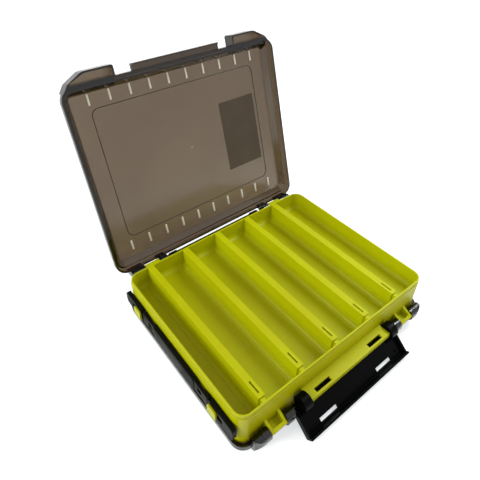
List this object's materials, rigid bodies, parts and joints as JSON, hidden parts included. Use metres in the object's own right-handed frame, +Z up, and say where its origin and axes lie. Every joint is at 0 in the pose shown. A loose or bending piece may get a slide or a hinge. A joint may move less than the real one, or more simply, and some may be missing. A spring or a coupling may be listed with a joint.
{
  "type": "fishing tackle cabinet",
  "caption": "Flat two-sided box for fishing lures: divided trays on both faces, each under its own hinged tinted lid with a flap latch, and a carry strap on one side.",
  "frame": {"origin": "centre of the body in plan, on the plane of the lower lid's outer face, which the box stands on", "axes": "+X to the right along the hinge lines, with the strap on the -X side; +Y to the back, where the open upper lid is hinged; +Z up"},
  "size_m": [0.1992, 0.2389, 0.1933],
  "materials": {
    "body_plastic": "moulded yellow plastic with a soft sheen",
    "lid_plastic": "smoke-tinted clear plastic",
    "latch_plastic": "black moulded plastic with a soft sheen",
    "strap_plastic": "black flexible plastic, matt",
    "label": "blank dark film"
  },
  "bodies": {
    "body": {"shell": "body_plastic", "front_ledge": "body_plastic", "rear_ledge": "body_plastic", "lug_front_left": "body_plastic", "lug_front_right": "body_plastic", "lug_rear_left": "body_plastic", "lug_rear_right": "body_plastic", "knob_front": "body_plastic", "knob_rear": "body_plastic", "upper_divider_1": "body_plastic", "upper_divider_2": "body_plastic", "upper_divider_3": "body_plastic", "upper_divider_4": "body_plastic", "upper_divider_5": "body_plastic", "lower_divider_1": "body_plastic", "lower_divider_2": "body_plastic", "lower_divider_3": "body_plastic", "lower_divider_4": "body_plastic", "lower_divider_5": "body_plastic"},
    "upper_lid": {"upper_lid": "lid_plastic", "lid_label": "label"},
    "lower_lid": {"lower_lid": "lid_plastic"},
    "front_latch": {"front_latch": "latch_plastic"},
    "rear_latch": {"rear_latch": "latch_plastic"},
    "strap_grip": {"strap_grip": "strap_plastic"},
    "strap_link_front": {"strap_link_front": "strap_plastic"},
    "strap_link_rear": {"strap_link_rear": "strap_plastic"},
    "strap_loop_front": {"strap_loop_front": "strap_plastic"},
    "strap_loop_rear": {"strap_loop_rear": "strap_plastic"}
  },
  "joints": [
    {"name": "upper_lid_hinge", "type": "hinge", "parent": "body", "child": "upper_lid", "pos_m": [0, 0.0795, 0.0348], "axis": [1, 0, 0], "range_deg": [0, 106]},
    {"name": "lower_lid_hinge", "type": "hinge", "parent": "body", "child": "lower_lid", "pos_m": [0, -0.0795, 0.0158], "axis": [-1, 0, 0], "range_deg": [0, 35]},
    {"name": "front_latch_hinge", "type": "hinge", "parent": "body", "child": "front_latch", "pos_m": [0, -0.081, 0.0215], "axis": [-1, 0, 0], "range_deg": [0, 129.5]},
    {"name": "rear_latch_hinge", "type": "hinge", "parent": "body", "child": "rear_latch", "pos_m": [0, 0.081, 0.0291], "axis": [1, 0, 0], "range_deg": [-8, 45]},
    {"name": "strap_pull", "type": "slide", "parent": "body", "child": "strap_grip", "axis": [-1, 0, 0], "range_m": [0, 0.0095]},
    {"name": "strap_link_front_pivot", "type": "hinge", "parent": "strap_grip", "child": "strap_link_front", "pos_m": [-0.0978, -0.0283, 0.0253], "axis": [0, 0, 1], "range_deg": [0, 46]},
    {"name": "strap_link_rear_pivot", "type": "hinge", "parent": "strap_grip", "child": "strap_link_rear", "pos_m": [-0.0978, 0.0283, 0.0253], "axis": [0, 0, -1], "range_deg": [0, 46]},
    {"name": "strap_loop_front_slide", "type": "slide", "parent": "body", "child": "strap_loop_front", "axis": [0, 1, 0], "range_m": [0, 0.0042]},
    {"name": "strap_loop_rear_slide", "type": "slide", "parent": "body", "child": "strap_loop_rear", "axis": [0, -1, 0], "range_m": [0, 0.0042]}
  ],
  "couplings": [
    {"joint": "strap_link_front_pivot", "follows": "strap_pull", "rad_per_m": 76.485},
    {"joint": "strap_link_rear_pivot", "follows": "strap_pull", "rad_per_m": 76.485},
    {"joint": "strap_loop_front_slide", "follows": "strap_pull", "ratio": 0.38018},
    {"joint": "strap_loop_rear_slide", "follows": "strap_pull", "ratio": 0.38018}
  ]
}
